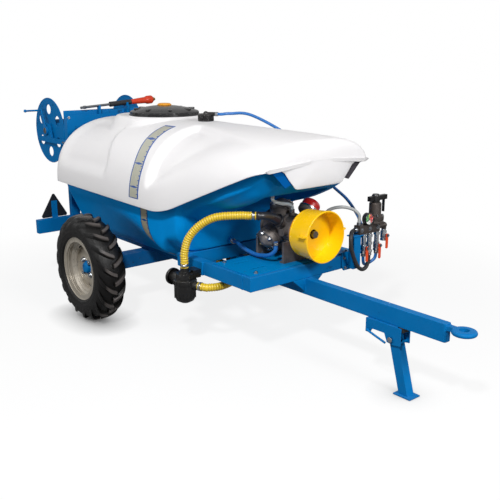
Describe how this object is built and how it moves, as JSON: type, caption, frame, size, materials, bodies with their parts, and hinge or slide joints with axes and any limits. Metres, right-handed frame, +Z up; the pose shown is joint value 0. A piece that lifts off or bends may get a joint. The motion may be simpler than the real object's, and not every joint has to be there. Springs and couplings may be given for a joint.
{
  "type": "towed orchard sprayer",
  "caption": "Two-wheeled towed sprayer cart with a moulded tank, shaft-driven pump, pressure regulator, hose reel, spray gun and drawbar with prop stand.",
  "frame": {"origin": "on the ground, in the middle of the overall length, on the centre plane between the wheels", "axes": "+X forward along the drawbar to the towing eye, +Y to the left, +Z up"},
  "size_m": [3.2796, 1.316, 1.1607],
  "materials": {
    "frame_paint": "satin",
    "platform_paint": "satin",
    "bare_steel": "satin",
    "zinc": "satin",
    "buffer_rubber": "matt",
    "tyre_rubber": "matt",
    "rim_paint": "satin",
    "tank_white": "satin",
    "tank_blue": "satin",
    "black_plastic": "satin",
    "vent_yellow": "satin",
    "nose_grey": "matt",
    "triangle_black": "matt",
    "sleeve_orange": "satin",
    "lever_orange": "satin",
    "pump_cast": "cast",
    "chamber_red": "gloss",
    "guard_yellow": "gloss",
    "hose_yellow": "satin",
    "hose_dark": "satin",
    "valve_chrome": "polished",
    "needle_red": "satin"
  },
  "bodies": {
    "chassis": {"side_rails": "frame_paint", "crossmembers": "frame_paint", "tank_bearers": "frame_paint", "pump_platform": "platform_paint", "axle": "frame_paint", "wheel_bearings": "bare_steel", "drawbar": "frame_paint", "towing_eye": "frame_paint", "stand_bracket": "frame_paint", "stand_buffer": "buffer_rubber", "stand_pin": "bare_steel", "stand_bail": "bare_steel", "tank_lower": "tank_blue", "tank_upper": "tank_white", "filler_neck": "black_plastic", "strainer_basket": "black_plastic", "nose_vents": "nose_grey", "return_fitting": "black_plastic", "rear_light_bar": "frame_paint", "warning_triangles": "triangle_black", "reel_frame": "frame_paint", "gun_barrel": "bare_steel", "gun_grip": "black_plastic", "pump_body": "pump_cast", "pump_heads": "pump_cast", "air_chamber": "chamber_red", "suction_manifold": "black_plastic", "shaft_guard": "guard_yellow", "guard_ring": "sleeve_orange", "suction_filter": "black_plastic", "suction_hoses": "hose_yellow", "pressure_hoses": "hose_dark", "hose_fittings": "bare_steel", "regulator_post": "frame_paint", "regulator_body": "pump_cast", "pressure_gauge": "valve_chrome", "ball_valves": "valve_chrome"},
    "wheel_right": {"tyre_right": "tyre_rubber", "rim_right": "rim_paint", "hub_right": "frame_paint", "hub_cap_right": "frame_paint", "wheel_bolts_right": "zinc"},
    "wheel_left": {"tyre_left": "tyre_rubber", "rim_left": "rim_paint", "hub_left": "frame_paint", "hub_cap_left": "frame_paint", "wheel_bolts_left": "zinc"},
    "stand": {"stand_leg": "frame_paint"},
    "lid": {"tank_lid": "black_plastic", "lid_vent": "vent_yellow"},
    "reel": {"reel_axle": "bare_steel", "reel_drum": "frame_paint", "reel_crank": "frame_paint"},
    "gun_twist": {"gun_sleeve": "sleeve_orange"},
    "drive_shaft": {"pump_shaft": "bare_steel"},
    "needle": {"gauge_needle": "needle_red"},
    "handle": {"pressure_handle": "black_plastic"},
    "lever_1": {"valve_lever_1": "lever_orange"},
    "lever_2": {"valve_lever_2": "lever_orange"},
    "lever_3": {"valve_lever_3": "lever_orange"}
  },
  "joints": [
    {"name": "wheel_right_spin", "type": "hinge", "parent": "chassis", "child": "wheel_right", "pos_m": [-0.40575, -0.578, 0.295], "axis": [0, 1, 0], "continuous": true},
    {"name": "wheel_left_spin", "type": "hinge", "parent": "chassis", "child": "wheel_left", "pos_m": [-0.40575, 0.578, 0.295], "axis": [0, 1, 0], "continuous": true},
    {"name": "stand_fold", "type": "hinge", "parent": "chassis", "child": "stand", "pos_m": [1.25925, 0, 0.245], "axis": [0, 1, 0], "range_deg": [0, 96]},
    {"name": "lid_hinge", "type": "hinge", "parent": "chassis", "child": "lid", "pos_m": [-0.70475, 0, 1.1], "axis": [0, -1, 0], "range_deg": [0, 110]},
    {"name": "reel_turn", "type": "hinge", "parent": "chassis", "child": "reel", "pos_m": [-1.42875, 0, 0.945], "axis": [0, 1, 0], "continuous": true},
    {"name": "gun_sleeve_twist", "type": "hinge", "parent": "chassis", "child": "gun_twist", "pos_m": [-1.17375, -0.19, 1.1], "axis": [0, 0.9979, 0.0645], "range_deg": [0, 180]},
    {"name": "drive_shaft_spin", "type": "hinge", "parent": "chassis", "child": "drive_shaft", "pos_m": [0.69425, 0, 0.605], "axis": [1, 0, 0], "continuous": true},
    {"name": "gauge_needle_turn", "type": "hinge", "parent": "chassis", "child": "needle", "pos_m": [0.77555, 0.357, 0.6325], "axis": [-1, 0, 0], "range_deg": [0, 270]},
    {"name": "pressure_handle_turn", "type": "hinge", "parent": "chassis", "child": "handle", "pos_m": [0.74425, 0.437, 0.725], "axis": [0, 0, 1], "range_deg": [0, 150]},
    {"name": "valve_lever_1_turn", "type": "hinge", "parent": "chassis", "child": "lever_1", "pos_m": [0.76875, 0.358, 0.48], "axis": [-1, 0, 0], "range_deg": [0, 90]},
    {"name": "valve_lever_2_turn", "type": "hinge", "parent": "chassis", "child": "lever_2", "pos_m": [0.76875, 0.456, 0.48], "axis": [-1, 0, 0], "range_deg": [0, 90]},
    {"name": "valve_lever_3_turn", "type": "hinge", "parent": "chassis", "child": "lever_3", "pos_m": [0.76875, 0.51, 0.524], "axis": [1, 0, 0], "range_deg": [0, 90]}
  ]
}
